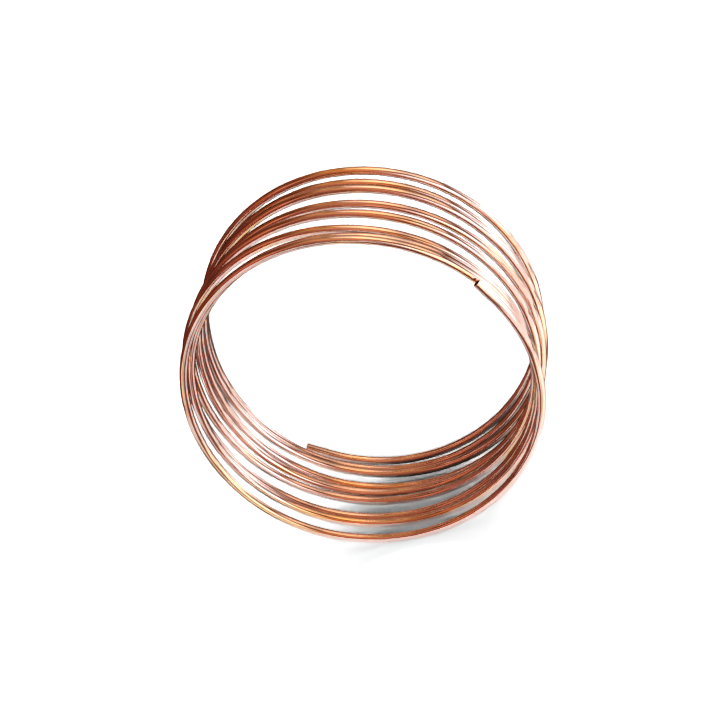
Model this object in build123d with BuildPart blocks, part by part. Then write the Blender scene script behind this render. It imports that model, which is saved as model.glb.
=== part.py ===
# Copper tube coil: one length of soft copper tube, wound by hand into a loose, open coil.
# The coil stands on its rim like a wheel, with its axis level along Y, and daylight between
# its turns. Both ends of the tube are cut square and open.
# The origin is on the floor, under the middle of the coil.
# The near side is toward -Y, and each turn runs clockwise as seen from there.

import os
from math import cos, radians, sin, sqrt

from build123d import *

# The tube
tube_outer_diameter = 6.35
tube_wall = 0.8
cut_edge_break = 0.15
end_straight = 18.0

# The coil, measured along the middle of the tube
turn_radius = 126.0
coil_width = 101.0
near_end_angle = 50.0
far_end_angle = 3074.5

# How far the coil rolls, clockwise from the near side, to rest with its heavy side down
rest_turn = 18.7

# How finely the winding is followed
points_per_turn = 8
samples_per_turn = 360
quarter_turns = 4
full_turn = 360.0
way_nudge_share = 0.001

# How far the turns are shifted sideways, as a share of the turn's radius: to the left at the
# near end of the winding, and as far to the right at the far end
drift_share = 0.0124

# Each row is one turn, from the near end to the far end, at its top, right, bottom and left.
# The shares were fitted by least squares to strand positions read by eye from a photograph,
# and rounded to steps of 0.005.
# Where the tube lies across the coil, as shares of the coil's width
width_shares = [
    (0.035, -0.010, 0.005, 0.110),
    (0.090, 0.110, 0.185, 0.245),
    (0.220, 0.230, 0.275, 0.415),
    (0.350, 0.335, 0.475, 0.535),
    (0.500, 0.475, 0.555, 0.640),
    (0.600, 0.555, 0.650, 0.760),
    (0.735, 0.695, 0.810, 0.875),
    (0.870, 0.830, 0.900, 0.995),
    (0.955, 1.000, 1.015, 1.100),
]
# How far the tube lies from the middle of the coil, as shares of the turn's radius
radius_shares = [
    (0.960, 1.080, 1.015, 1.000),
    (0.975, 1.060, 1.005, 0.975),
    (0.935, 1.045, 1.015, 1.025),
    (0.925, 1.025, 1.005, 1.015),
    (0.960, 1.035, 0.990, 0.985),
    (0.980, 1.060, 1.000, 0.985),
    (1.020, 1.060, 0.985, 0.980),
    (1.000, 1.030, 1.005, 0.990),
    (1.045, 1.025, 1.005, 1.010),
]

# Worked out from the sizes above
tube_radius = tube_outer_diameter / 2
bore_radius = tube_radius - tube_wall
angle_step = full_turn / points_per_turn
sample_step = full_turn / samples_per_turn
way_nudge = angle_step * way_nudge_share
wound_turn = full_turn * len(width_shares)


def blend(shares, angle):
    """Smooth value of a table of quarter turns at an angle, in degrees from the first top."""
    column = [share for row in shares for share in row]
    place = angle / full_turn * quarter_turns
    index = int(place)
    part = place - index
    last = len(column) - 1
    before, here, there, after = (column[min(max(index + k, 0), last)] for k in (-1, 0, 1, 2))
    leave = (there - before) / 2
    arrive = (after - here) / 2
    rise = there - here
    bend = (3 * rise - 2 * leave - arrive) * part**2
    return here + leave * part + bend + (leave + arrive - 2 * rise) * part**3


def tube_place(angle):
    """Place of the middle of the tube, from the middle of the coil, once the coil has rolled."""
    radius = turn_radius * blend(radius_shares, angle)
    across = coil_width * (blend(width_shares, angle) - 0.5)
    drift = turn_radius * drift_share * (2 * angle / wound_turn - 1)
    turned = radians(angle)
    wound = Vector(radius * sin(turned) + drift, across, radius * cos(turned))
    return wound.rotate(Axis.Y, rest_turn)


def tube_way(angle):
    """Direction of the tube at an angle, toward the far end."""
    return (tube_place(angle + way_nudge) - tube_place(angle - way_nudge)).normalized()


def stepped_angles(step):
    """Angles from the near end to the far end, at whole steps between the two."""
    first = int(near_end_angle / step) + 1
    last = int(far_end_angle / step)
    return [near_end_angle, *[count * step for count in range(first, last)], far_end_angle]


def arc_pair(start, start_way, finish, finish_way):
    """Draw two arcs that join smoothly, from start to finish, with the tube's direction at both."""
    span = finish - start
    both_ways = start_way + finish_way
    opening = 2 * (1 - start_way.dot(finish_way))
    lean = span.dot(both_ways)
    reach = (sqrt(lean**2 + opening * span.dot(span)) - lean) / opening
    leave_corner = start + start_way * reach
    arrive_corner = finish - finish_way * reach
    meeting = (leave_corner + arrive_corner) / 2
    TangentArc(start, meeting, tangent=start_way)
    TangentArc(meeting, finish, tangent=arrive_corner - leave_corner)


# The middle of the tube, from cut to cut, measured from the middle of the coil
near_way = tube_way(near_end_angle)
far_way = tube_way(far_end_angle)
near_tip = tube_place(near_end_angle) - near_way * end_straight
far_tip = tube_place(far_end_angle) + far_way * end_straight

# The shift that sets the lowest turn on the floor and the coil's outline over the origin
samples = [near_tip, *[tube_place(angle) for angle in stepped_angles(sample_step)], far_tip]
middle_x = (min(spot.X for spot in samples) + max(spot.X for spot in samples)) / 2
middle_y = (min(spot.Y for spot in samples) + max(spot.Y for spot in samples)) / 2
lowest_z = min(spot.Z for spot in samples)
stand = Vector(-middle_x, -middle_y, tube_radius - lowest_z)

near_cut = near_tip + stand
far_cut = far_tip + stand
angles = stepped_angles(angle_step)
places = [tube_place(angle) + stand for angle in angles]
ways = [tube_way(angle) for angle in angles]

with BuildPart() as copper_tube:
    with BuildLine() as tube_line:
        Line(near_cut, places[0])
        for index in range(len(places) - 1):
            arc_pair(places[index], ways[index], places[index + 1], ways[index + 1])
        Line(places[-1], far_cut)
    with BuildSketch(Plane(origin=near_cut, z_dir=near_way)):
        Circle(tube_radius)
        Circle(bore_radius, mode=Mode.SUBTRACT)
    sweep()
    chamfer(copper_tube.faces().filter_by(GeomType.PLANE).edges(), cut_edge_break)
copper_tube.part.label = "copper_tube"

os.makedirs("parts", exist_ok=True)
export_step(copper_tube.part, "parts/copper_tube.step")
print("length", tube_line.wires()[0].length, "volume", copper_tube.part.volume)
print("stand", stand)
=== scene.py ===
"""Looks of the copper tube coil: bright drawn copper, with dark streaks of tarnish and painted
shade, stains and small dents.
"""

import bmesh
import bpy
import numpy as np
from mathutils import Matrix, Vector


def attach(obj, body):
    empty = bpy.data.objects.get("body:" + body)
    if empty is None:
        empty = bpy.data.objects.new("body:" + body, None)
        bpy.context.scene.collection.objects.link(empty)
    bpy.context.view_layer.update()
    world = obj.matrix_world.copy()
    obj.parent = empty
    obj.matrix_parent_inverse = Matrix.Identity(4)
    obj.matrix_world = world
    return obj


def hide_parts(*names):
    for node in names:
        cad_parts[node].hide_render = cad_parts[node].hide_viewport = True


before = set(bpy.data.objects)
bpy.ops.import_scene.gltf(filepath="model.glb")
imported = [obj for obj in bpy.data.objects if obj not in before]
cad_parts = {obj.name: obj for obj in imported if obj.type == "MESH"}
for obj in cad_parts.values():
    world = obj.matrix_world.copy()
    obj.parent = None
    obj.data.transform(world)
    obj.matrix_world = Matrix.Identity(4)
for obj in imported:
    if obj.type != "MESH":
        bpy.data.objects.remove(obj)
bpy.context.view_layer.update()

# The tube, in metres
tube_outer_diameter = 0.00635
tube_wall = 0.0008
cut_edge_break = 0.00015
end_straight = 0.018

# The coil, measured along the middle of the tube
coil_axis = (0.0, 1.0, 0.0)
turn_radius = 0.126
coil_width = 0.101
near_end_angle = 50.0
far_end_angle = 3074.5

# How far the coil rolls, clockwise from the near side, to rest with its heavy side down
rest_turn = 18.7

# How finely the tube is shown, with every second ring in its bore
rings_per_turn = 144
bore_ring_step = 2
samples_per_turn = 360
tube_sides = 32
sharp_angle = 32.0
quarter_turns = 4
full_turn = 360.0
way_nudge = 0.045

# How far the turns are shifted sideways, as a share of the turn's radius: to the left at the
# near end of the winding, and as far to the right at the far end
drift_share = 0.0124

# Each row is one turn, from the near end to the far end, at its top, right, bottom and left, as
# in the part's source. The shares were fitted by least squares to strand positions read from a
# photograph, and rounded to steps of 0.005.
# Where the tube lies across the coil, as shares of the coil's width
width_shares = [
    (0.035, -0.010, 0.005, 0.110),
    (0.090, 0.110, 0.185, 0.245),
    (0.220, 0.230, 0.275, 0.415),
    (0.350, 0.335, 0.475, 0.535),
    (0.500, 0.475, 0.555, 0.640),
    (0.600, 0.555, 0.650, 0.760),
    (0.735, 0.695, 0.810, 0.875),
    (0.870, 0.830, 0.900, 0.995),
    (0.955, 1.000, 1.015, 1.100),
]
# How far the tube lies from the middle of the coil, as shares of the turn's radius
radius_shares = [
    (0.960, 1.080, 1.015, 1.000),
    (0.975, 1.060, 1.005, 0.975),
    (0.935, 1.045, 1.015, 1.025),
    (0.925, 1.025, 1.005, 1.015),
    (0.960, 1.035, 0.990, 0.985),
    (0.980, 1.060, 1.000, 0.985),
    (1.020, 1.060, 0.985, 0.980),
    (1.000, 1.030, 1.005, 0.990),
    (1.045, 1.025, 1.005, 1.010),
]

# The photo's view, as the coil stood in it before it rolled to rest. The distance is a guess.
# The angles, the target and the lens come from the same fit as the shares.
photo_elevation = 31.76
photo_azimuth = 4.92
photo_distance = 2.0
photo_target = (-0.00121, 0.0, -0.002415)
photo_focal_share = 3.75
sensor_width = 36.0
view_depth = 50.0

# Colours of the copper, and the tint that it takes where it turns away
clean_copper = (0.91, 0.62, 0.54)
warm_copper = (0.93, 0.53, 0.26)
brown_copper = (0.46, 0.20, 0.12)
edge_tint = (0.12, 0.08, 0.08)

# Marks on the copper: how often each changes in a metre of tube, how much it changes round the
# tube, and the detail and roughness of its noise
mark_noises = {
    "patches": (14.0, 0.5, 3.0, 0.55),
    "streaks": (9.0, 7.0, 4.0, 0.6),
    "fine": (40.0, 22.0, 3.0, 0.6),
    "stains": (60.0, 1.6, 4.0, 0.6),
    # The noise of the dark streaks, which are partly tarnish and partly painted shade
    "tarnish_and_shade": (7.0, 2.2, 3.0, 0.55),
    "dents": (30.0, 0.9, 2.0, 0.5),
}
# Marks that colour the copper, each over the one before: the noise at which it starts to show
# and shows fully, its share there, and its colour
colour_marks = [
    ("patches", (0.48, 0.72), 1.0, warm_copper),
    ("streaks", (0.55, 0.75), 0.35, warm_copper),
    # Dark brown streaks along the tube: partly tarnish, partly painted shade that stands in for
    # the dark reflected lines along the strands
    ("tarnish_and_shade", (0.50, 0.66), 0.55, brown_copper),
    ("stains", (0.60, 0.82), 0.45, brown_copper),
]
# Marks that roughen the copper, added up: the noise as above, and the roughness at both ends
rough_marks = [
    ("fine", (0.3, 0.7), (0.05, 0.09)),
    ("stains", (0.5, 0.8), (0.0, 0.12)),
]
# Marks that stand out: how strong each bump is, and its height in metres
bump_marks = [
    ("fine", 0.04, 0.0002),
    ("dents", 0.3, 0.0004),
]

# The floor: its size, its colour to the camera, which is above white because little light falls
# on it, and its colour to rays that are neither the camera's nor a reflection's
floor_half_width = 1.6
camera_paper = (3.0, 3.0, 3.0)
plain_paper = (0.6, 0.6, 0.6)

# The floor as reflections see it carries painted light and shade: it is cloudy, and brightest at
# the front and the right. It is dim at the left, and in a lane from the coil to the front. Fades
# are in metres from the coil.
dim_paper = (0.36, 0.12, 0.09)
right_fade = (0.12, 0.40)
right_level = 2.4
front_fade = (-0.05, 0.12)
front_levels = (2.3, 0.3)
left_fade = (-0.50, -0.28)
left_slant = 0.7
lane_side_fade = (0.05, 0.13)
lane_end_fade = (-0.18, -0.09)

# Noise that makes the floor and the room uneven: its scale, and the levels at its low and high
floor_cloud_scale = 5.0
floor_cloud_levels = (0.15, 1.9)
room_cloud_scale = 2.6
room_cloud_levels = (0.25, 1.8)
cloud_detail = 2.0
cloud_rough = 0.5
cloud_fade = (0.38, 0.62)

# The room as reflections see it: its dim colour, and its soft lights. Each light has a
# direction, the cosines of the angles to it at which it starts to show and shows fully, and a
# colour.
room_colour = (0.14, 0.034, 0.018)
room_lights = [
    ((0.9, 0.38, 0.12), (0.70, 0.86), (1.15, 1.5, 1.65)),
    ((0.65, -0.75, 0.0), (0.70, 0.86), (1.2, 1.55, 1.75)),
    ((0.65, 0.76, 0.0), (0.84, 0.97), (0.75, 0.75, 0.85)),
    ((0.0, 0.0, 1.0), (0.72, 0.94), (0.62, 0.46, 0.20)),
    ((0.0, -0.2, 1.0), (0.10, 0.70), (0.09, 0.045, 0.01)),
    ((0.1, 1.0, 0.15), (0.60, 0.90), (0.42, 0.36, 0.28)),
    ((-0.2, -0.8, 0.5), (0.75, 0.95), (0.18, 0.10, 0.07)),
    ((-0.6, -0.8, 0.0), (0.75, 0.95), (0.14, 0.05, 0.035)),
]

# Light on the floor from the front and the back: the cosines as above, and its level
low_light_fade = (0.75, 0.95)
low_light_level = 6.4

# The lamp over the coil, in metres and watts
lamp_direction = (0.15, 0.05, 1.0)
lamp_distance = 1.5
lamp_width = 1.4
lamp_power = 3.4
lamp_aim_height = 0.13

# Worked out from the sizes above
tube_radius = tube_outer_diameter / 2
bore_radius = tube_radius - tube_wall
wound_turn = full_turn * len(width_shares)
roll = Matrix.Rotation(np.radians(rest_turn), 3, "Y")


def blend(shares, angle):
    """Smooth values of a table of quarter turns at angles, in degrees from the first top."""
    column = np.array(shares).ravel()
    place = angle / full_turn * quarter_turns
    index = np.floor(place).astype(int)
    part = place - index
    last = len(column) - 1
    before, here, there, after = (column[np.clip(index + k, 0, last)] for k in (-1, 0, 1, 2))
    leave = (there - before) / 2
    arrive = (after - here) / 2
    rise = there - here
    bend = (3 * rise - 2 * leave - arrive) * part**2
    return here + leave * part + bend + (leave + arrive - 2 * rise) * part**3


def tube_places(angle):
    """Places of the middle of the tube, from the middle of the coil, once the coil has rolled."""
    radius = turn_radius * blend(radius_shares, angle)
    across = coil_width * (blend(width_shares, angle) - 0.5)
    drift = turn_radius * drift_share * (2 * angle / wound_turn - 1)
    turned = np.radians(angle)
    wound = np.stack([radius * np.sin(turned) + drift, across, radius * np.cos(turned)], -1)
    return wound @ np.array(roll).T


def unit(vectors):
    """The same vectors, each one unit long."""
    return vectors / np.linalg.norm(vectors, axis=-1, keepdims=True)


def tube_ways(angle):
    """Directions of the tube at angles, toward the far end."""
    return unit(tube_places(angle + way_nudge) - tube_places(angle - way_nudge))


def stepped_angles(step):
    """Angles from the near end to the far end, at whole steps between the two."""
    first = int(near_end_angle / step) + 1
    last = int(far_end_angle / step)
    whole = np.arange(first, last) * step
    return np.concatenate([[near_end_angle], whole, [far_end_angle]])


def middle_line(step):
    """Places and directions along the middle of the tube, from cut to cut."""
    angle = stepped_angles(step)
    places = tube_places(angle)
    ways = tube_ways(angle)
    near_tip = places[0] - ways[0] * end_straight
    far_tip = places[-1] + ways[-1] * end_straight
    places = np.concatenate([[near_tip], places, [far_tip]])
    return places, np.concatenate([[ways[0]], ways, [ways[-1]]])


# The shift that sets the lowest turn on the floor and the coil's outline over the origin
samples = middle_line(full_turn / samples_per_turn)[0]
lows = samples.min(0)
highs = samples.max(0)
stand = np.array([-(lows[0] + highs[0]) / 2, -(lows[1] + highs[1]) / 2, tube_radius - lows[2]])


def tube_rings():
    """Rings of the tube, each with its place, direction, radius and length from the near cut.

    They run along the outside to the far cut, over its rim, back in the bore, and over the near
    rim.
    """
    places, ways = middle_line(full_turn / rings_per_turn)
    places = places + stand
    steps = np.linalg.norm(np.diff(places, axis=0), axis=1)
    lengths = np.concatenate([[0.0], np.cumsum(steps)])
    near, near_way = places[0], ways[0]
    far, far_way, total = places[-1], ways[-1], lengths[-1]
    edge = cut_edge_break
    between = list(zip(places[1:-1], ways[1:-1], lengths[1:-1]))
    outside = [(place, way, tube_radius, length) for place, way, length in between]
    bore = [(place, way, bore_radius, length) for place, way, length in between]
    return [
        (near + near_way * edge, near_way, tube_radius, edge),
        *outside,
        (far - far_way * edge, far_way, tube_radius, total - edge),
        (far, far_way, tube_radius - edge, total),
        (far, far_way, bore_radius + edge, total),
        (far - far_way * edge, far_way, bore_radius, total - edge),
        *bore[::-bore_ring_step],
        (near + near_way * edge, near_way, bore_radius, edge),
        (near, near_way, bore_radius + edge, 0.0),
        (near, near_way, tube_radius - edge, 0.0),
    ]


def ring_corners(place, way, radius):
    """Corners round one ring of the tube."""
    around = np.arange(tube_sides) * 2 * np.pi / tube_sides
    outward = unit(np.cross(way, coil_axis))
    aside = np.cross(outward, way)
    spokes = np.cos(around)[:, None] * outward + np.sin(around)[:, None] * aside
    return place + radius * spokes


def tube_mesh(name):
    """A closed mesh of the whole tube: its outside, its bore and its two cut rims."""
    rings = tube_rings()
    corners = np.concatenate([ring_corners(*ring[:3]) for ring in rings])
    faces = []
    unrolled = []
    for first in range(len(rings)):
        second = (first + 1) % len(rings)
        here = rings[first][-1]
        there = rings[second][-1]
        for side in range(tube_sides):
            beside = (side + 1) % tube_sides
            near_pair = (first * tube_sides + side, first * tube_sides + beside)
            far_pair = (second * tube_sides + beside, second * tube_sides + side)
            faces.append(near_pair + far_pair)
            low = side / tube_sides
            high = (side + 1) / tube_sides
            unrolled.extend([(here, low), (here, high), (there, high), (there, low)])
    mesh = bpy.data.meshes.new(name)
    mesh.from_pydata([tuple(corner) for corner in corners], [], faces)
    layer = mesh.uv_layers.new(name="along_and_around")
    layer.data.foreach_set("uv", np.array(unrolled, dtype=np.float32).ravel())
    shape = bmesh.new()
    shape.from_mesh(mesh)
    bmesh.ops.recalc_face_normals(shape, faces=shape.faces)
    shape.to_mesh(mesh)
    shape.free()
    mesh.shade_smooth()
    mesh.set_sharp_from_angle(angle=np.radians(sharp_angle))
    return mesh


class Graph:
    """Short ways to add nodes to a material or a world, and to join them."""

    def __init__(self, tree):
        self.nodes = tree.nodes
        self.links = tree.links

    def node(self, kind, **settings):
        """A new node with these settings."""
        made = self.nodes.new(kind)
        for name, setting in settings.items():
            setattr(made, name, setting)
        return made

    def feed(self, socket, value):
        """Join a socket to another node's output, or set it to a number, vector or colour."""
        if isinstance(value, bpy.types.NodeSocket):
            self.links.new(value, socket)
        elif socket.type == "RGBA":
            socket.default_value = (*value, 1.0)
        else:
            socket.default_value = value

    def split(self, vector):
        """The outputs X, Y and Z of a vector."""
        made = self.node("ShaderNodeSeparateXYZ")
        self.feed(made.inputs["Vector"], vector)
        return made.outputs

    def maths(self, operation, *values):
        """One operation on numbers."""
        made = self.node("ShaderNodeMath", operation=operation)
        for socket, value in zip(made.inputs, values):
            self.feed(socket, value)
        return made.outputs["Value"]

    def vector_maths(self, operation, first, second):
        """The node of one operation on two vectors."""
        made = self.node("ShaderNodeVectorMath", operation=operation)
        self.feed(made.inputs[0], first)
        self.feed(made.inputs[1], second)
        return made

    def scaled(self, vector, factor):
        """A vector or colour times a number."""
        made = self.node("ShaderNodeVectorMath", operation="SCALE")
        self.feed(made.inputs[0], vector)
        self.feed(made.inputs["Scale"], factor)
        return made.outputs["Vector"]

    def noise(self, vector, scale, detail, rough):
        """Smooth uneven numbers from 0 to 1."""
        made = self.node("ShaderNodeTexNoise")
        self.feed(made.inputs["Vector"], vector)
        self.feed(made.inputs["Scale"], scale)
        self.feed(made.inputs["Detail"], detail)
        self.feed(made.inputs["Roughness"], rough)
        return made.outputs["Fac"]

    def fade(self, value, crossing, levels):
        """A number that goes smoothly from one level to another while a value crosses a range."""
        made = self.node("ShaderNodeMapRange", interpolation_type="SMOOTHSTEP")
        names = ("Value", "From Min", "From Max", "To Min", "To Max")
        for name, number in zip(names, (value, *crossing, *levels)):
            self.feed(made.inputs[name], number)
        return made.outputs["Result"]

    def mix(self, share, first, second):
        """The first colour, with a share of the second over it."""
        made = self.node("ShaderNodeMix", data_type="RGBA")
        self.feed(made.inputs["Factor"], share)
        below, above = [socket for socket in made.inputs if socket.type == "RGBA"]
        self.feed(below, first)
        self.feed(above, second)
        return [socket for socket in made.outputs if socket.type == "RGBA"][0]


def add_object(name, content):
    """A new object in the scene."""
    made = bpy.data.objects.new(name, content)
    bpy.context.scene.collection.objects.link(made)
    return made


def tube_marks(graph):
    """Noises that run along the tube and close on themselves round it, by name."""
    unrolled = graph.node("ShaderNodeUVMap", uv_map="along_and_around")
    place = graph.split(unrolled.outputs["UV"])
    turn = graph.maths("MULTIPLY", place["Y"], 2 * np.pi)
    marks = {}
    for name, (along_scale, around_scale, detail, rough) in mark_noises.items():
        spot = graph.node("ShaderNodeCombineXYZ")
        graph.feed(spot.inputs["X"], graph.maths("MULTIPLY", place["X"], along_scale))
        for axis, operation in (("Y", "COSINE"), ("Z", "SINE")):
            around = graph.maths("MULTIPLY", graph.maths(operation, turn), around_scale)
            graph.feed(spot.inputs[axis], around)
        marks[name] = graph.noise(spot.outputs["Vector"], 1.0, detail, rough)
    return marks


def copper_material():
    """Bright drawn copper, with streaks along the tube, dark streaks of tarnish and painted
    shade, soft stains and small dents.
    """
    material = bpy.data.materials.new("copper")
    material.use_nodes = True
    graph = Graph(material.node_tree)
    shader = graph.nodes["Principled BSDF"]
    shader.inputs["Metallic"].default_value = 1.0
    graph.feed(shader.inputs["Specular Tint"], edge_tint)
    marks = tube_marks(graph)

    body = clean_copper
    for name, crossing, most, colour in colour_marks:
        body = graph.mix(graph.fade(marks[name], crossing, (0.0, most)), body, colour)
    graph.feed(shader.inputs["Base Color"], body)

    rough = [graph.fade(marks[name], crossing, levels) for name, crossing, levels in rough_marks]
    graph.feed(shader.inputs["Roughness"], graph.maths("ADD", *rough))

    normal = None
    for name, strength, height in bump_marks:
        bump = graph.node("ShaderNodeBump")
        graph.feed(bump.inputs["Strength"], strength)
        graph.feed(bump.inputs["Distance"], height)
        graph.feed(bump.inputs["Height"], marks[name])
        if normal is not None:
            graph.feed(bump.inputs["Normal"], normal)
        normal = bump.outputs["Normal"]
    graph.feed(shader.inputs["Normal"], normal)
    return material


def reflected_floor(graph):
    """The floor's colour as reflections see it, with painted light and shade."""
    spot = graph.node("ShaderNodeTexCoord").outputs["Object"]
    place = graph.split(spot)
    cloud = graph.noise(spot, floor_cloud_scale, cloud_detail, cloud_rough)
    # Painted light: the floor is brighter at the right and the front, under cloudy noise
    right = graph.maths("MULTIPLY", graph.fade(place["X"], right_fade, (0.0, 1.0)), right_level)
    brightest = graph.maths("MAXIMUM", graph.fade(place["Y"], front_fade, front_levels), right)
    cloudy = graph.fade(cloud, cloud_fade, floor_cloud_levels)
    level = graph.maths("MULTIPLY", brightest, cloudy)
    # Painted shade: a dim lane from the coil to the front, and a dim left side
    lane = graph.maths(
        "MULTIPLY",
        graph.fade(graph.maths("ABSOLUTE", place["X"]), lane_side_fade, (1.0, 0.0)),
        graph.fade(place["Y"], lane_end_fade, (1.0, 0.0)),
    )
    slanted = graph.maths("SUBTRACT", place["X"], graph.maths("MULTIPLY", place["Y"], left_slant))
    not_left = graph.fade(slanted, left_fade, (0.0, 1.0))
    lit = graph.maths("MULTIPLY", not_left, graph.maths("SUBTRACT", 1.0, lane))
    return graph.mix(lit, dim_paper, level)


def paper_material():
    """Paper white to the camera, with painted light and shade to reflections, and shaded by the
    coil.
    """
    material = bpy.data.materials.new("floor_paper")
    material.use_nodes = True
    graph = Graph(material.node_tree)
    graph.nodes.remove(graph.nodes["Principled BSDF"])
    rays = graph.node("ShaderNodeLightPath").outputs
    seen = graph.mix(rays["Is Glossy Ray"], plain_paper, reflected_floor(graph))
    seen = graph.mix(rays["Is Camera Ray"], seen, camera_paper)
    matt = graph.node("ShaderNodeBsdfDiffuse")
    graph.feed(matt.inputs["Color"], seen)
    graph.feed(graph.nodes["Material Output"].inputs["Surface"], matt.outputs["BSDF"])
    return material


def floor_sheet(name):
    """A mesh of one flat square of floor."""
    signs = [(-1, -1), (1, -1), (1, 1), (-1, 1)]
    corners = [(x * floor_half_width, y * floor_half_width, 0.0) for x, y in signs]
    mesh = bpy.data.meshes.new(name)
    mesh.from_pydata(corners, [], [(0, 1, 2, 3)])
    return mesh


def toward(direction):
    """A direction as the photo's upright coil had it, turned with the coil."""
    return (roll @ Vector(direction)).normalized()


def lit_room(graph, sky):
    """The room's dim colour with its soft lights added."""
    room = room_colour
    for direction, crossing, colour in room_lights:
        cosine = graph.vector_maths("DOT_PRODUCT", sky, toward(direction)).outputs["Value"]
        light = graph.scaled(colour, graph.fade(cosine, crossing, (0.0, 1.0)))
        room = graph.vector_maths("ADD", light, room).outputs["Vector"]
    return room


def studio_world():
    """The world: white to the camera, an uneven room to reflections, and light for the floor."""
    world = bpy.data.worlds.new("studio")
    world.use_nodes = True
    graph = Graph(world.node_tree)
    sky = graph.node("ShaderNodeTexCoord").outputs["Generated"]
    rays = graph.node("ShaderNodeLightPath").outputs
    cloud = graph.noise(sky, room_cloud_scale, cloud_detail, cloud_rough)
    uneven = graph.fade(cloud, cloud_fade, room_cloud_levels)
    glossy = graph.maths("MULTIPLY", rays["Is Glossy Ray"], uneven)
    room = graph.scaled(lit_room(graph, sky), glossy)
    white = graph.maths("MAXIMUM", rays["Is Camera Ray"], rays["Is Transmission Ray"])
    front_or_back = graph.maths("ABSOLUTE", graph.split(sky)["Y"])
    low_light = graph.fade(front_or_back, low_light_fade, (0.0, low_light_level))
    plain = graph.maths("MULTIPLY", rays["Is Diffuse Ray"], low_light)
    seen = graph.vector_maths("ADD", room, graph.maths("ADD", white, plain)).outputs["Vector"]
    graph.feed(graph.nodes["Background"].inputs["Color"], seen)
    return world


def add_lamp(name):
    """A square lamp over the coil that faces its middle."""
    data = bpy.data.lights.new(name, "AREA")
    data.size = lamp_width
    data.energy = lamp_power
    lamp = add_object(name, data)
    way = toward(lamp_direction)
    lamp.location = way * lamp_distance + Vector((0.0, 0.0, lamp_aim_height))
    lamp.rotation_euler = way.to_track_quat("Z", "Y").to_euler()


def add_camera(name):
    """The camera at the photo's viewing angle, turned with the coil as it rolled to rest."""
    elevation = np.radians(photo_elevation)
    azimuth = np.radians(photo_azimuth)
    level_back = Vector((np.sin(azimuth), -np.cos(azimuth), 0.0))
    back = level_back * np.cos(elevation) + Vector((0.0, 0.0, np.sin(elevation)))
    right = Vector((np.cos(azimuth), np.sin(azimuth), 0.0))
    up = back.cross(right)
    eye = Vector(photo_target) + back * photo_distance
    axes = Matrix((roll @ right, roll @ up, roll @ back)).transposed()
    data = bpy.data.cameras.new(name)
    data.sensor_width = sensor_width
    data.lens = sensor_width * photo_focal_share
    data.clip_end = view_depth
    camera = add_object(name, data)
    camera.matrix_world = Matrix.Translation(roll @ eye + Vector(stand)) @ axes.to_4x4()
    return camera


tube = add_object("copper_tube_skin", tube_mesh("copper_tube_skin"))
tube.data.materials.append(copper_material())
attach(tube, "root")
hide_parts("copper_tube")

floor = add_object("floor", floor_sheet("floor"))
floor.data.materials.append(paper_material())

bpy.context.scene.world = studio_world()
add_lamp("overhead")
bpy.context.scene.camera = add_camera("photo_camera")
bpy.context.scene.view_settings.view_transform = "Standard"
bpy.context.scene.cycles.caustics_reflective = False
